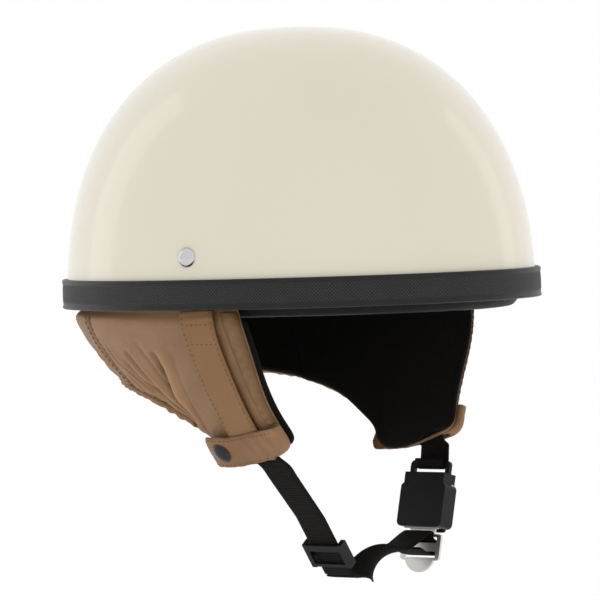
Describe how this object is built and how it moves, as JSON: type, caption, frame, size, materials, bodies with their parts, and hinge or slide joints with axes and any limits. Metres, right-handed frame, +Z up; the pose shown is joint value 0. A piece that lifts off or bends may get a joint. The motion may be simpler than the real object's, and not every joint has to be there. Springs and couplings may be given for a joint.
{
  "type": "open face motorcycle helmet",
  "caption": "Half-shell open face helmet with rubber rim trim, leather neck curtain with ear flaps, snap keepers and a webbing chin strap with slider and ratchet buckle.",
  "frame": {"origin": "middle of the head opening, in the plane of the rim trim's lower edge", "axes": "+Z up through the crown, the wearer looks along -Y, +X to the wearer's left"},
  "size_m": [0.235, 0.286, 0.3094],
  "materials": {
    "shell_gloss": "gloss cream lacquer",
    "trim_rubber": "black rubber, fine cross-hatched outer face",
    "liner_foam": "charcoal expanded polystyrene",
    "fleece_black": "short black brushed fleece",
    "headband_leatherette": "dark grey soft leatherette",
    "rivet_chrome": "polished dome",
    "hardware_steel": "plain steel",
    "leather_tan": "soft tan lambskin with creases",
    "leather_sleeve": "smooth tan leather",
    "snap_black": "black lacquered cap",
    "webbing_black": "ribbed nylon webbing",
    "buckle_plastic": "black moulded nylon",
    "lever_plastic": "dark grey moulded nylon",
    "tongue_steel": "satin steel"
  },
  "bodies": {
    "root": {"outer_shell": "shell_gloss", "edge_trim": "trim_rubber", "impact_liner": "liner_foam", "crown_lining": "fleece_black", "headband": "headband_leatherette", "strap_rivets": "rivet_chrome", "rivet_plates": "hardware_steel", "nape_panel": "leather_tan", "side_panel_right": "leather_tan", "side_panel_left": "leather_tan", "nape_lining": "fleece_black", "flap_lining_right": "fleece_black", "flap_lining_left": "fleece_black", "nape_elastic": "leather_tan", "strap_sleeve_right": "leather_sleeve", "strap_sleeve_left": "leather_sleeve", "front_roll_right": "leather_tan", "front_roll_left": "leather_tan", "keeper_back_right": "leather_tan", "keeper_back_left": "leather_tan", "snap_stud_right": "hardware_steel", "snap_stud_left": "hardware_steel", "strap_right": "webbing_black", "strap_left": "webbing_black", "strap_lower": "webbing_black"},
    "tab_right": {"keeper_tab_right": "leather_tan", "snap_cap_right": "snap_black", "snap_socket_right": "hardware_steel"},
    "tab_left": {"keeper_tab_left": "leather_tan", "snap_cap_left": "snap_black", "snap_socket_left": "hardware_steel"},
    "slider": {"strap_slider": "buckle_plastic"},
    "buckle": {"buckle_housing": "buckle_plastic", "buckle_plate": "hardware_steel", "lever_pin": "hardware_steel", "lever_spring": "hardware_steel"},
    "lever": {"release_lever": "lever_plastic", "ratchet_pawl": "hardware_steel"},
    "tongue": {"ratchet_tongue": "tongue_steel", "strap_end_loop": "webbing_black"}
  },
  "joints": [
    {"name": "keeper_right_open", "type": "hinge", "parent": "root", "child": "tab_right", "pos_m": [-0.08144, -0.04517, -0.07215], "axis": [-0.4805, -0.2055, 0.8526], "range_deg": [0, 100]},
    {"name": "keeper_left_open", "type": "hinge", "parent": "root", "child": "tab_left", "pos_m": [0.08144, -0.04517, -0.07215], "axis": [-0.4805, 0.2055, -0.8526], "range_deg": [0, 100]},
    {"name": "slider_adjust", "type": "slide", "parent": "root", "child": "slider", "axis": [-0.5822, 0, 0.8131], "range_m": [-0.003, 0.01]},
    {"name": "buckle_swing", "type": "hinge", "parent": "root", "child": "buckle", "pos_m": [0.0638, -0.0405, -0.0942], "axis": [0, 1, 0], "range_deg": [-25, 25], "stiffness_Nm_per_rad": 0.02, "springref_deg": 4.35, "deforming": ["strap_lower"]},
    {"name": "tongue_slide", "type": "slide", "parent": "buckle", "child": "tongue", "axis": [-0.2588, 0, -0.9659], "range_m": [-0.003, 0.025], "deforming": ["strap_end_loop"]},
    {"name": "lever_lift", "type": "hinge", "parent": "buckle", "child": "lever", "pos_m": [0.06372, -0.0405, -0.10764], "axis": [0, -1, 0], "range_deg": [0, 30], "stiffness_Nm_per_rad": 0.02, "springref_deg": -17.19}
  ]
}
